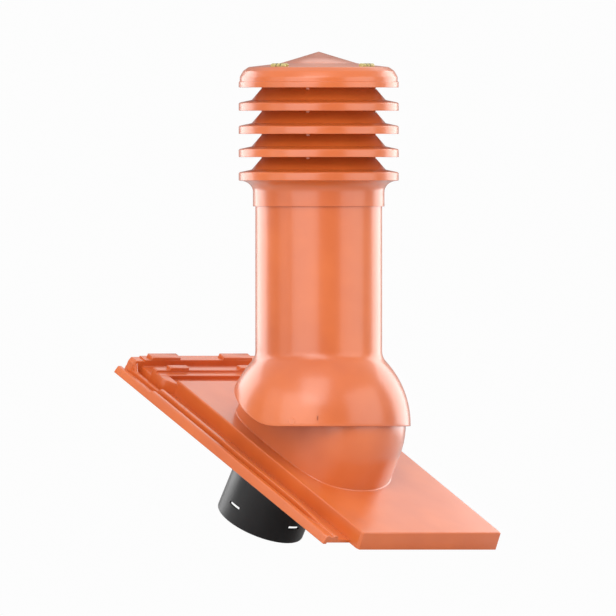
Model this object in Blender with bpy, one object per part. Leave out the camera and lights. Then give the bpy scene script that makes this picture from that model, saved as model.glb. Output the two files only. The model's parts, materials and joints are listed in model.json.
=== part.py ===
"""Roof ventilation chimney: a flat roof tile with a moulded ball, a hood with its pipe over it, and a louvred cap.

Metres, +Z up. +Y runs up the roof and +X along the eave. The origin is the middle of the flat seat under the
tile's head, where the tile bears on its batten.
"""

import math

import bmesh
import bpy
from mathutils import Matrix, Vector

# The roof and how the pieces meet
ROOF_PITCH = math.radians(30.0)
CONTACT_GAP = 0.0003
EMBED = 0.0015
ROUND_SIDES = 36
SMOOTH_ANGLE = math.radians(35.0)

# Tile: x across the roof from the pipe's axis, y up the roof from the front edge, z off the roof from the pan
TILE_WALL = 0.0035
PAN_WIDTH = 0.2453
PAN_LENGTH = 0.3846
PIPE_FROM_LEFT = 0.0886
FRONT_DEPTH = 0.0233
FRONT_DRAFT = 0.0025
SIDE_DEPTH = 0.0200
CORNER_CHAMFER = 0.0035

# Side lock, the pair of ribs along the left edge that the next tile covers
LOCK_WIDTH = 0.0460
LOCK_SETBACK = 0.0157
LOCK_RIB_RISE = 0.0095
LOCK_LIP_RISE = 0.0070
LOCK_HEAD_RISE = 0.0055
LOCK_HEAD_LIP_RISE = 0.0040
LOCK_HEAD_LENGTH = 0.0650
LOCK_FRONT_RISE = 0.0061
LOCK_FRONT_FLOOR_RISE = 0.0048
LOCK_FRONT_LENGTH = 0.0150
LOCK_FRONT_RAMP = 0.0800
LOCK_EDGE_DEPTH = 0.0254
LOCK_LIP_WIDTH = 0.0063
LOCK_DRAFT = 0.0030
LOCK_RIB_WIDTH = 0.0062
LOCK_RIB_FROM_PAN = 0.0231

# Head lock, the low part behind the pan with its ledge and two ribs
HEAD_LENGTH = 0.0644
HEAD_DEPTH = 0.0100
HEAD_LEFT_REACH = 0.0119
LEDGE_START = 0.0182
LEDGE_WIDTH = 0.0084
LEDGE_DEPTH = 0.0038
RIB_DEPTH = 0.0009
RIB_WIDTH = 0.0083
RAIL_RISE = 0.0034
RAIL_INNER = 0.0450
RAIL_OUTER = 0.0790
REAR_RIB_WIDTH = 0.0120
REAR_RIB_REACH = 0.0274
REAR_RIB_STEP = 0.0014
REAR_RIB_SLOPE = 0.0025
REAR_RIB_RAMP = 0.0080
REAR_RAIL_INNER = 0.0380
REAR_RAIL_OUTER = 0.0888

# Batten seat and its two lugs, under the head
SEAT_WIDTH = 0.0200
SEAT_FROM_HEAD = 0.0340
LUG_WIDTH = 0.0300
LUG_THICKNESS = 0.0060
LUG_DROP = 0.0110
LUG_FROM_AXIS = 0.0550

# Ball moulded on the pan
BALL_RADIUS = 0.1100
BALL_WALL = 0.0030
BALL_FROM_FRONT = 0.2155
BALL_RISE = 0.0340
BALL_MOUTH_RISE = 0.0850
STRIP_LEFT = 0.0176
FOOT_FLARE = 0.0040
FLAT_BLEND = 14.0
BALL_SIDES = 36

# Hood and pipe, measured from the ball's centre
BALL_CLEARANCE = 0.0020
HOOD_WALL = 0.0040
HOOD_FRONT_DROP = 0.0030
HOOD_REAR_RISE = 0.0050
NECK_FILLET = 0.0200
PIPE_RADIUS = 0.0800
PIPE_WALL = 0.0035
PIPE_TOP = 0.2950

# Louvres, from the lower edge of each one's band
LOUVRE_COUNT = 3
LOUVRE_PITCH = 0.0293
LOUVRE_RADIUS = 0.1010
LOUVRE_WALL = 0.0026
BAND_HEIGHT = 0.0090
BAND_ROUND = 0.0014
SHOULDER_RADIUS = 0.0846
SHOULDER_SLOPE = 0.2130
THROAT_LEAN = 0.8660
THROAT_OVERLAP = 0.0022
POST_COUNT = 4
POST_WIDTH = 0.0040
POST_REACH = 0.0064
POST_TURN = math.radians(214.6)

# Collar under the lowest louvre
COLLAR_DEPTH = 0.0205
COLLAR_WALL = 0.0027
COLLAR_FLARE_RISE = 0.0145
COLLAR_STEP = 0.0185

# Cap
CAP_WALL = 0.0030
CAP_LIP_HEIGHT = 0.0070
CAP_LIP_STEP = 0.0013
CAP_SIDE_HEIGHT = 0.0133
CAP_SHOULDER_RADIUS = 0.0886
CAP_SHOULDER_HEIGHT = 0.0258
CAP_CONE_RADIUS = 0.0485
CAP_CONE_FOOT = 0.0306
CAP_PEAK = 0.0453

# Spirit levels in the cap's shoulder
VIAL_LENGTH = 0.0250
VIAL_RADIUS = 0.0035
VIAL_FROM_RIM = 0.0230
VIAL_SIDES = 12
VIAL_TURNS = {"level_vial_left": math.radians(186.3), "level_vial_right": math.radians(276.3)}
SEAT_WALL = 0.0022

# Duct spigot under the tile
SPIGOT_RADIUS = 0.05725
SPIGOT_WALL = 0.0030
SPIGOT_DROP = 0.1246
SPIGOT_OFFSET = 0.0300
FLANGE_OVERLAP = 0.0150
FLANGE_WALL = 0.0030
FLANGE_SIDE_GAP = 0.0011
SLOT_LENGTH = 0.0188
SLOT_HEIGHT = 0.0040
SLOT_RISE = 0.0227

PAN_LEFT = -PIPE_FROM_LEFT
PAN_RIGHT = PAN_LEFT + PAN_WIDTH
HEAD_END = PAN_LENGTH + HEAD_LENGTH
LOCK_FLOOR = -SIDE_DEPTH
LOCK_UNDER = LOCK_FLOOR - TILE_WALL
SEAT_LEVEL = -LOCK_EDGE_DEPTH
SEAT_CENTRE = Vector((0.0, HEAD_END - SEAT_FROM_HEAD, SEAT_LEVEL))
BALL_CENTRE = Vector((0.0, BALL_FROM_FRONT, BALL_RISE))
BALL_FLAT = PIPE_FROM_LEFT - STRIP_LEFT
VIAL_FROM_AXIS = LOUVRE_RADIUS - VIAL_FROM_RIM
HOOD_INNER = BALL_RADIUS + BALL_CLEARANCE
HOOD_OUTER = HOOD_INNER + HOOD_WALL
COLLAR_BORE = PIPE_RADIUS + CONTACT_GAP
COLLAR_OUTER = COLLAR_BORE + COLLAR_WALL
COLLAR_FOOT = PIPE_TOP - COLLAR_DEPTH
FIRST_BAND = COLLAR_FOOT + COLLAR_STEP + COLLAR_FLARE_RISE


def clear_scene():
    for obj in list(bpy.data.objects):
        bpy.data.objects.remove(obj, do_unlink=True)


def plastic(name, colour, roughness):
    material = bpy.data.materials.new(name)
    material.use_nodes = True
    shader = material.node_tree.nodes["Principled BSDF"]
    shader.inputs["Base Color"].default_value = (*colour, 1.0)
    shader.inputs["Roughness"].default_value = roughness
    shader.inputs["Metallic"].default_value = 0.0
    return material


def empty(name, parent, location, tilt):
    obj = bpy.data.objects.new(name, None)
    bpy.context.scene.collection.objects.link(obj)
    obj.parent = parent
    obj.location = location
    obj.rotation_euler = (tilt, 0.0, 0.0)
    return obj


def add_object(name, bm, material, parent, location=(0.0, 0.0, 0.0)):
    bmesh.ops.recalc_face_normals(bm, faces=bm.faces)
    mesh = bpy.data.meshes.new(name)
    bm.to_mesh(mesh)
    bm.free()
    mesh.shade_smooth()
    mesh.set_sharp_from_angle(angle=SMOOTH_ANGLE)
    if material:
        mesh.materials.append(material)
    obj = bpy.data.objects.new(name, mesh)
    bpy.context.scene.collection.objects.link(obj)
    obj.parent = parent
    obj.location = location
    return obj


def combine(obj, name, bm, operation, parent=None, location=(0.0, 0.0, 0.0)):
    """Adds a solid to an object, or cuts it away, and leaves the tool as a hidden wire."""
    tool = add_object(f"{obj.name}_{name}", bm, None, parent or obj.parent, location)
    tool.hide_render = True
    tool.display_type = "WIRE"
    step = obj.modifiers.new(name, "BOOLEAN")
    step.operation = operation
    step.solver = "EXACT"
    step.object = tool
    return tool


def box(low, high):
    bm = bmesh.new()
    size = Vector(high) - Vector(low)
    middle = (Vector(high) + Vector(low)) / 2
    scale = Matrix.Diagonal((*size, 1.0))
    bmesh.ops.create_cube(bm, size=1.0, matrix=Matrix.Translation(middle) @ scale)
    return bm


def loft(sections):
    """A closed solid through sections that have the same number of points."""
    bm = bmesh.new()
    rows = [[bm.verts.new(point) for point in section] for section in sections]
    count = len(rows[0])
    for near, far in zip(rows, rows[1:]):
        for i in range(count):
            j = (i + 1) % count
            bm.faces.new((near[i], near[j], far[j], far[i]))
    bm.faces.new(rows[0])
    bm.faces.new(rows[-1])
    return bm


def turned(profile, sides=ROUND_SIDES):
    """A closed outline of (radius, height) points turned about the Z axis."""
    bm = bmesh.new()
    rings = []
    for radius, height in profile:
        if radius < 1e-6:
            rings.append([bm.verts.new((0.0, 0.0, height))] * sides)
            continue
        turn = [2 * math.pi * i / sides for i in range(sides)]
        rings.append([bm.verts.new((radius * math.cos(a), radius * math.sin(a), height)) for a in turn])
    for near, far in zip(rings, rings[1:] + rings[:1]):
        for i in range(sides):
            j = (i + 1) % sides
            corners = list(dict.fromkeys((near[i], near[j], far[j], far[i])))
            if len(corners) > 2:
                bm.faces.new(corners)
    return bm


def cylinder(radius, low, high, sides=ROUND_SIDES):
    return turned([(0.0, low), (radius, low), (radius, high), (0.0, high)], sides)


def arc(centre, radius, start, end, steps):
    """Points (radius, height) of an arc between two angles in degrees."""
    angles = [math.radians(start + (end - start) * i / steps) for i in range(steps + 1)]
    return [(centre[0] + radius * math.cos(a), centre[1] + radius * math.sin(a)) for a in angles]


def height_at(outline, radius):
    """Height of a line of (radius, height) points at one radius."""
    for (r0, h0), (r1, h1) in zip(outline, outline[1:]):
        if min(r0, r1) <= radius <= max(r0, r1) and r0 != r1:
            return h0 + (h1 - h0) * (radius - r0) / (r1 - r0)
    return min(outline, key=lambda point: abs(point[0] - radius))[1]


def lock_section(y, lip_rise, rib_rise, groove_rise):
    """Section of the side lock: an outer lip, a groove, a rib and the channel beside the pan's wall."""
    outer = PAN_LEFT - LOCK_WIDTH
    lip = outer + LOCK_DRAFT
    rib = PAN_LEFT - LOCK_RIB_FROM_PAN
    groove = LOCK_FLOOR + groove_rise
    slant = LOCK_DRAFT / 6
    points = [
        (outer, SEAT_LEVEL),
        (lip, LOCK_FLOOR + lip_rise),
        (lip + LOCK_LIP_WIDTH, LOCK_FLOOR + lip_rise),
        (lip + LOCK_LIP_WIDTH + slant, groove),
        (rib - LOCK_RIB_WIDTH - slant, groove),
        (rib - LOCK_RIB_WIDTH, LOCK_FLOOR + rib_rise),
        (rib, LOCK_FLOOR + rib_rise),
        (rib + slant, LOCK_FLOOR),
        (PAN_LEFT + EMBED, LOCK_FLOOR),
        (PAN_LEFT + EMBED, LOCK_UNDER),
        (lip + TILE_WALL, LOCK_UNDER),
        (lip + TILE_WALL, SEAT_LEVEL),
    ]
    return [(x, y, z) for x, z in points]


def side_lock():
    step = HEAD_END - LOCK_HEAD_LENGTH
    ramp = LOCK_RIB_RISE - LOCK_HEAD_RISE
    front = LOCK_SETBACK + LOCK_FRONT_LENGTH
    return loft([
        lock_section(LOCK_SETBACK, LOCK_FRONT_RISE, LOCK_FRONT_RISE, LOCK_FRONT_FLOOR_RISE),
        lock_section(front, LOCK_FRONT_RISE, LOCK_FRONT_RISE, LOCK_FRONT_FLOOR_RISE),
        lock_section(front + LOCK_FRONT_RAMP, LOCK_LIP_RISE, LOCK_RIB_RISE, 0.0),
        lock_section(step - ramp, LOCK_LIP_RISE, LOCK_RIB_RISE, 0.0),
        lock_section(step, LOCK_HEAD_LIP_RISE, LOCK_HEAD_RISE, 0.0),
        lock_section(HEAD_END, LOCK_HEAD_LIP_RISE, LOCK_HEAD_RISE, 0.0),
    ])


def pan_outline(inset, z, front):
    """Outline of the pan at one height, with its cut-off corner, moved in by a wall's thickness."""
    left = PAN_LEFT + inset
    right = PAN_RIGHT - inset
    rear = PAN_LENGTH - inset
    cut = CORNER_CHAMFER
    return [
        (left + cut / 2, front + inset, z),
        (right, front + inset, z),
        (right, rear, z),
        (left, rear, z),
        (left, front + inset + cut, z),
    ]


def head_profile():
    """Section of the head lock along the roof: groove, ledge, first rib, valley and rear rib."""
    ledge = PAN_LENGTH + LEDGE_START
    rib = ledge + LEDGE_WIDTH
    rear = HEAD_END - REAR_RIB_WIDTH
    return [
        (PAN_LENGTH - EMBED, -HEAD_DEPTH - TILE_WALL),
        (HEAD_END, -HEAD_DEPTH - TILE_WALL),
        (HEAD_END, -RIB_DEPTH),
        (rear, -RIB_DEPTH),
        (rear, -HEAD_DEPTH),
        (rib + RIB_WIDTH, -HEAD_DEPTH),
        (rib + RIB_WIDTH, -RIB_DEPTH),
        (rib, -RIB_DEPTH),
        (rib, -LEDGE_DEPTH),
        (ledge, -LEDGE_DEPTH),
        (ledge, -HEAD_DEPTH),
        (PAN_LENGTH - EMBED, -HEAD_DEPTH),
    ]


def rails():
    """Raised stretches of the two head ribs, as (x from, x to, y from, y to)."""
    rib = PAN_LENGTH + LEDGE_START + LEDGE_WIDTH
    rear = HEAD_END - REAR_RIB_WIDTH
    found = []
    for side in (-1, 1):
        for inner, outer, low, high in (
            (RAIL_INNER, RAIL_OUTER, rib, rib + RIB_WIDTH),
            (REAR_RAIL_INNER, REAR_RAIL_OUTER, rear, HEAD_END),
        ):
            ends = sorted((side * inner, side * outer))
            found.append((*ends, low, high))
    return found


def ball_section(z, shrink, flare=0.0, steps=BALL_SIDES):
    """Section of the ball's shell at height z: a circle flattened on the left, where the side lock runs."""
    above = max(0.0, z - BALL_RISE)
    radius = math.sqrt(max(0.0, (BALL_RADIUS - shrink) ** 2 - above**2))
    flat = BALL_FLAT - shrink
    section = []
    for i in range(steps):
        turn = 2 * math.pi * i / steps
        reach = radius
        if math.cos(turn) < 0:
            wall = flat / -math.cos(turn)
            reach = (radius**-FLAT_BLEND + wall**-FLAT_BLEND) ** (-1 / FLAT_BLEND)
        reach += flare
        section.append((reach * math.cos(turn), BALL_FROM_FRONT + reach * math.sin(turn), z))
    return section


def ball_solid(low, shrink, flare):
    """The ball's outer or inner solid, from below the pan to near its pole."""
    levels = [(low, flare)]
    if flare:
        for turn in (25, 58, 90):
            a = math.radians(turn)
            levels.append((flare * (1 - math.cos(a)), flare * (1 - math.sin(a))))
    levels.append((BALL_RISE, 0.0))
    radius = BALL_RADIUS - shrink
    for turn in (15, 30, 45, 60, 75):
        levels.append((BALL_RISE + radius * math.sin(math.radians(turn)), 0.0))
    return loft([ball_section(z, shrink, out) for z, out in levels])


def build_tile(material, slope, plumb):
    to_seat = -SEAT_CENTRE
    tile = add_object("roof_tile", loft([
        pan_outline(0.0, -FRONT_DEPTH, -FRONT_DRAFT),
        pan_outline(0.0, 0.0, 0.0),
    ]), material, slope, to_seat)
    combine(tile, "hollow", loft([
        pan_outline(TILE_WALL, -FRONT_DEPTH - EMBED, -FRONT_DRAFT),
        pan_outline(TILE_WALL, -TILE_WALL, 0.0),
    ]), "DIFFERENCE", location=to_seat)
    combine(tile, "skirt_trim", box(
        (PAN_LEFT - TILE_WALL, LOCK_SETBACK, -FRONT_DEPTH - EMBED),
        (PAN_RIGHT + TILE_WALL, HEAD_END, LOCK_FLOOR - TILE_WALL / 2),
    ), "DIFFERENCE", location=to_seat)
    combine(tile, "side_lock", side_lock(), "UNION", location=to_seat)

    head_left = PAN_LEFT - HEAD_LEFT_REACH
    profile = head_profile()
    combine(tile, "head_lock", loft([
        [(head_left, y, z) for y, z in profile],
        [(PAN_RIGHT, y, z) for y, z in profile],
    ]), "UNION", location=to_seat)
    for i, (left, right, low, high) in enumerate(rails()):
        combine(tile, f"rail_{i}", box(
            (left, low, -RIB_DEPTH - EMBED), (right, high, -RIB_DEPTH + RAIL_RISE),
        ), "UNION", location=to_seat)

    end = PAN_LEFT - REAR_RIB_REACH
    rear = HEAD_END - REAR_RIB_WIDTH
    low = LOCK_FLOOR - EMBED
    rib_end = [
        (head_left + EMBED, -RIB_DEPTH - REAR_RIB_STEP),
        (end, -RIB_DEPTH - REAR_RIB_STEP),
        (end - REAR_RIB_SLOPE, -RIB_DEPTH - REAR_RIB_STEP - 2 * REAR_RIB_SLOPE),
        (end - REAR_RIB_SLOPE, low),
        (head_left + EMBED, low),
    ]
    combine(tile, "rib_end", loft([
        [(x, y, z) for x, z in rib_end] for y in (rear, HEAD_END)
    ]), "UNION", location=to_seat)
    ramp = [
        (rear - REAR_RIB_RAMP, LOCK_FLOOR + LOCK_HEAD_RISE - EMBED),
        (rear + EMBED, -RIB_DEPTH - REAR_RIB_STEP - EMBED),
        (rear + EMBED, low),
        (rear - REAR_RIB_RAMP, low),
    ]
    rib = PAN_LEFT - LOCK_RIB_FROM_PAN
    combine(tile, "rib_ramp", loft([
        [(x, y, z) for y, z in ramp] for x in (rib - LOCK_RIB_WIDTH + CONTACT_GAP, rib - CONTACT_GAP)
    ]), "UNION", location=to_seat)

    wall_left = head_left - EMBED
    ledge = PAN_LENGTH + LEDGE_START + LEDGE_WIDTH
    rib_rear = ledge + RIB_WIDTH - CONTACT_GAP
    corner = [
        (PAN_LEFT + EMBED, PAN_LENGTH - TILE_WALL),
        (PAN_LEFT, PAN_LENGTH - TILE_WALL),
        (wall_left, PAN_LENGTH - TILE_WALL + PAN_LEFT - wall_left),
        (wall_left, rib_rear),
        (PAN_LEFT + EMBED, rib_rear),
    ]
    combine(tile, "head_corner", loft([
        [(x, y, low) for x, y in corner], [(x, y, -LEDGE_DEPTH - CONTACT_GAP) for x, y in corner],
    ]), "UNION", location=to_seat)
    combine(tile, "rib_corner", box(
        (wall_left, ledge + CONTACT_GAP, -LEDGE_DEPTH - EMBED), (head_left + EMBED, rib_rear, -RIB_DEPTH - CONTACT_GAP),
    ), "UNION", location=to_seat)
    combine(tile, "head_wall", box(
        (wall_left, rib_rear - EMBED, low), (wall_left + TILE_WALL, rear + EMBED, -HEAD_DEPTH - CONTACT_GAP),
    ), "UNION", location=to_seat)

    seat_low = SEAT_CENTRE.y - SEAT_WIDTH / 2
    seat_high = SEAT_CENTRE.y + SEAT_WIDTH / 2
    combine(tile, "batten_seat", box(
        (head_left, seat_low, SEAT_LEVEL), (PAN_RIGHT - EMBED, seat_high, -HEAD_DEPTH - EMBED),
    ), "UNION", location=to_seat)
    for side in (-1, 1):
        middle = side * LUG_FROM_AXIS
        combine(tile, "lug_left" if side < 0 else "lug_right", box(
            (middle - LUG_WIDTH / 2, seat_high - LUG_THICKNESS, SEAT_LEVEL - LUG_DROP),
            (middle + LUG_WIDTH / 2, seat_high - EMBED / 3, SEAT_LEVEL + EMBED),
        ), "UNION", location=to_seat)

    combine(tile, "ball", ball_solid(-EMBED, 0.0, FOOT_FLARE), "UNION", location=to_seat)
    combine(tile, "ball_hollow", ball_solid(-TILE_WALL - EMBED, BALL_WALL, 0.0), "DIFFERENCE", location=to_seat)
    combine(tile, "ball_mouth", box(
        (-BALL_RADIUS, -BALL_RADIUS, BALL_MOUTH_RISE), (BALL_RADIUS, BALL_RADIUS, 2 * BALL_RADIUS),
    ), "DIFFERENCE", parent=plumb)
    return tile


def build_spigot(material, slope):
    """The black duct connector: a flange under the pan and a slotted tube off its middle."""
    to_seat = -SEAT_CENTRE
    top = -TILE_WALL - CONTACT_GAP
    bottom = top - FLANGE_WALL
    limit = PIPE_FROM_LEFT - TILE_WALL - FLANGE_SIDE_GAP
    outline = []
    for i in range(BALL_SIDES):
        turn = 2 * math.pi * i / BALL_SIDES
        reach = BALL_RADIUS + FLANGE_OVERLAP
        if math.cos(turn) < 0:
            wall = limit / -math.cos(turn)
            reach = (reach**-FLAT_BLEND + wall**-FLAT_BLEND) ** (-1 / FLAT_BLEND)
        outline.append((reach * math.cos(turn), BALL_FROM_FRONT + reach * math.sin(turn)))
    spigot = add_object("duct_spigot", loft([
        [(x, y, bottom) for x, y in outline],
        [(x, y, top) for x, y in outline],
    ]), material, slope, to_seat)
    centre = to_seat + Vector((0.0, BALL_FROM_FRONT + SPIGOT_OFFSET, 0.0))
    rim = -SPIGOT_DROP
    combine(spigot, "tube", cylinder(SPIGOT_RADIUS, rim, bottom + EMBED), "UNION", location=centre)
    bore = SPIGOT_RADIUS - SPIGOT_WALL
    combine(spigot, "bore", cylinder(bore, rim - EMBED, top + EMBED), "DIFFERENCE", location=centre)
    low = rim + SLOT_RISE - SLOT_HEIGHT / 2
    reach = SPIGOT_RADIUS + EMBED
    half = SLOT_LENGTH / 2
    for name, x, y in (("slots_across", reach, half), ("slots_along", half, reach)):
        combine(spigot, name, box((-x, -y, low), (x, y, low + SLOT_HEIGHT)), "DIFFERENCE", location=centre)
    return spigot


def build_hood(material, plumb, slope):
    """The hood over the ball and the pipe, moulded as one."""
    foot = -HOOD_FRONT_DROP
    reach = HOOD_OUTER + NECK_FILLET
    fillet_height = math.sqrt(reach**2 - (PIPE_RADIUS + NECK_FILLET) ** 2)
    lean = math.degrees(math.atan2(fillet_height, PIPE_RADIUS + NECK_FILLET))
    outer_start = math.degrees(math.asin(foot / HOOD_OUTER))
    bore = PIPE_RADIUS - PIPE_WALL
    inner_start = math.degrees(math.asin(foot / HOOD_INNER))
    inner_end = math.degrees(math.acos(bore / HOOD_INNER))
    profile = arc((0.0, 0.0), HOOD_OUTER, outer_start, lean, 7)
    profile += arc((PIPE_RADIUS + NECK_FILLET, fillet_height), NECK_FILLET, 180 + lean, 180, 3)[1:]
    profile += [(PIPE_RADIUS, PIPE_TOP), (bore, PIPE_TOP)]
    profile += arc((0.0, 0.0), HOOD_INNER, inner_end, inner_start, 7)
    hood = add_object("hood_pipe", turned(profile), material, plumb)
    wide = 2 * HOOD_OUTER
    centre = BALL_CENTRE - SEAT_CENTRE
    combine(hood, "rear_edge", box(
        (-wide, -wide, HOOD_REAR_RISE - wide), (wide, wide, HOOD_REAR_RISE),
    ), "DIFFERENCE", parent=slope, location=centre)
    return hood


def louvre_top():
    """Upper side of a louvre: the band's round, a shoulder that sheds water and the cone up to the throat."""
    edge = LOUVRE_RADIUS - BAND_ROUND
    shoulder = BAND_HEIGHT + BAND_ROUND + SHOULDER_SLOPE * (edge - SHOULDER_RADIUS)
    throat_top = LOUVRE_PITCH + THROAT_OVERLAP
    return [
        (LOUVRE_RADIUS, BAND_HEIGHT),
        (edge, BAND_HEIGHT + BAND_ROUND),
        (SHOULDER_RADIUS, shoulder),
        (SHOULDER_RADIUS - THROAT_LEAN * (throat_top - shoulder), throat_top),
    ]


def louvre_underside():
    """Under side of a louvre, a wall's thickness inside its upper side."""
    wall = LOUVRE_WALL
    upper = louvre_top()
    drop = wall * math.hypot(1, SHOULDER_SLOPE)
    inset = wall * math.hypot(1, THROAT_LEAN)
    bend = (inset / THROAT_LEAN - drop) / (1 / THROAT_LEAN - SHOULDER_SLOPE)
    return [
        (LOUVRE_RADIUS - wall, BAND_HEIGHT - wall / 2),
        (upper[2][0] - bend, upper[2][1] + SHOULDER_SLOPE * bend - drop),
        (upper[3][0] - inset, upper[3][1]),
    ]


def cap_shoulder(drop):
    """Top of the cap from its shoulder to the peak, lowered by a wall's thickness for the inside."""
    return [
        (CAP_SHOULDER_RADIUS - drop * 0.7, CAP_SHOULDER_HEIGHT - drop),
        (CAP_CONE_RADIUS, CAP_CONE_FOOT - drop),
        (0.0, CAP_PEAK - drop),
    ]


def facet_radius(radius):
    """The radius that a post's far corner reaches on a turned surface, whose facets lie inside its circle."""
    return math.hypot(radius, POST_WIDTH / 2) / math.cos(math.pi / ROUND_SIDES)


def add_posts(louvre, underside, lift):
    """Posts that stand on a louvre's throat and carry the next one, whose underside is lift higher."""
    upper = louvre_top()
    throat, throat_top = upper[-1]
    inner = throat - LOUVRE_WALL / 2
    outer = throat + POST_REACH
    bends = sorted((r for r, _ in underside if inner < r < outer), reverse=True)
    head = [(r, lift - CONTACT_GAP + height_at(underside, facet_radius(r))) for r in (outer, *bends, inner)]
    outline = [(inner, throat_top - EMBED), (outer, height_at(upper, outer) - EMBED)] + head
    for i in range(POST_COUNT):
        bm = loft([[(x, y, z) for x, z in outline] for y in (-POST_WIDTH / 2, POST_WIDTH / 2)])
        turn = Matrix.Rotation(POST_TURN + 2 * math.pi * i / POST_COUNT, 4, "Z")
        bmesh.ops.transform(bm, matrix=turn, verts=bm.verts)
        combine(louvre, f"post_{i}", bm, "UNION", location=louvre.location)


def build_louvres(material, plumb):
    """The collar with the lowest louvre, and the louvres above it."""
    wall = LOUVRE_WALL
    underside = louvre_underside()
    step = COLLAR_STEP
    foot = -COLLAR_STEP - COLLAR_FLARE_RISE
    flare = COLLAR_FLARE_RISE
    spread = LOUVRE_RADIUS - COLLAR_OUTER
    rest = foot + COLLAR_DEPTH + CONTACT_GAP
    collar_side = [
        (COLLAR_OUTER, foot),
        (COLLAR_OUTER, foot + step),
        (COLLAR_OUTER + spread * 0.12, foot + step + flare * 0.36),
        (COLLAR_OUTER + spread * 0.36, foot + step + flare * 0.64),
        (COLLAR_OUTER + spread * 0.78, foot + step + flare * 0.97),
        (LOUVRE_RADIUS, 0.0),
    ]
    collar_bore = [
        (LOUVRE_RADIUS - wall * 1.5, wall),
        (COLLAR_BORE + spread * 0.30, -flare * 0.03),
        (COLLAR_BORE - PIPE_WALL + wall, rest + wall),
        (COLLAR_BORE - PIPE_WALL, rest),
        (COLLAR_BORE, rest),
        (COLLAR_BORE, foot),
    ]
    lowest = collar_side + louvre_top() + underside[::-1] + collar_bore
    collar = add_object("collar_louvre", turned(lowest), material, plumb, (0.0, 0.0, FIRST_BAND))
    add_posts(collar, underside, LOUVRE_PITCH)

    outline = [(LOUVRE_RADIUS, 0.0)] + louvre_top() + underside[::-1] + [(LOUVRE_RADIUS - wall, 0.0)]
    for i in range(1, LOUVRE_COUNT + 1):
        place = (0.0, 0.0, FIRST_BAND + i * LOUVRE_PITCH)
        louvre = add_object(f"louvre_{i}", turned(outline), material, plumb, place)
        above = underside if i < LOUVRE_COUNT else cap_shoulder(CAP_WALL)
        add_posts(louvre, above, LOUVRE_PITCH)


def vial_place(turn, height):
    middle = Matrix.Translation((VIAL_FROM_AXIS, 0.0, height))
    return Matrix.Rotation(turn, 4, "Z") @ middle @ Matrix.Rotation(math.pi / 2, 4, "X")


def build_cap(material, vial_material, plumb):
    lip = LOUVRE_RADIUS
    side = lip - CAP_LIP_STEP
    bend = (side + CAP_SHOULDER_RADIUS) / 2 + CAP_LIP_STEP
    bend_height = (CAP_SIDE_HEIGHT + CAP_SHOULDER_HEIGHT) / 2 + CAP_LIP_STEP
    outer = [
        (lip, 0.0),
        (lip, CAP_LIP_HEIGHT),
        (side, CAP_LIP_HEIGHT + CAP_LIP_STEP / 2),
        (side, CAP_SIDE_HEIGHT),
        (bend, bend_height),
    ] + cap_shoulder(0.0)
    inner = [
        (lip - CAP_WALL, 0.0),
        (lip - CAP_WALL, CAP_SIDE_HEIGHT - CAP_WALL),
        (bend - CAP_WALL, bend_height - CAP_WALL),
    ] + cap_shoulder(CAP_WALL)
    base = FIRST_BAND + (LOUVRE_COUNT + 1) * LOUVRE_PITCH
    cap = add_object("cap", turned(outer + inner[::-1]), material, plumb, (0.0, 0.0, base))
    surface = height_at(cap_shoulder(0.0), VIAL_FROM_AXIS)
    pocket = VIAL_RADIUS + CONTACT_GAP
    half = VIAL_LENGTH / 2 + CONTACT_GAP
    for name, turn in VIAL_TURNS.items():
        seat = box(
            (-pocket - SEAT_WALL, -pocket - SEAT_WALL, -half - SEAT_WALL),
            (pocket + SEAT_WALL, -EMBED, half + SEAT_WALL),
        )
        place = vial_place(turn, surface)
        bmesh.ops.transform(seat, matrix=place, verts=seat.verts)
        combine(cap, f"{name}_seat", seat, "UNION", location=cap.location)
        hole = cylinder(pocket, -half, half, VIAL_SIDES)
        bmesh.ops.transform(hole, matrix=place, verts=hole.verts)
        combine(cap, f"{name}_pocket", hole, "DIFFERENCE", location=cap.location)
        vial = cylinder(VIAL_RADIUS, -VIAL_LENGTH / 2, VIAL_LENGTH / 2, VIAL_SIDES)
        bmesh.ops.transform(vial, matrix=place, verts=vial.verts)
        add_object(name, vial, vial_material, plumb, cap.location)
    return cap


def main():
    clear_scene()
    orange = plastic("tile_red_plastic", (0.80, 0.24, 0.10), 0.34)
    black = plastic("black_plastic", (0.016, 0.016, 0.017), 0.38)
    vial_green = plastic("vial_liquid", (0.58, 0.62, 0.08), 0.12)
    slope = empty("roof_slope", None, (0.0, 0.0, 0.0), ROOF_PITCH)
    plumb = empty("ball_pivot", slope, BALL_CENTRE - SEAT_CENTRE, -ROOF_PITCH)
    build_tile(orange, slope, plumb)
    build_spigot(black, slope)
    build_hood(orange, plumb, slope)
    build_louvres(orange, plumb)
    build_cap(orange, vial_green, plumb)


main()
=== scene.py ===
import json
import math

import bmesh
import bpy
from mathutils import Matrix, Vector


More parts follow.
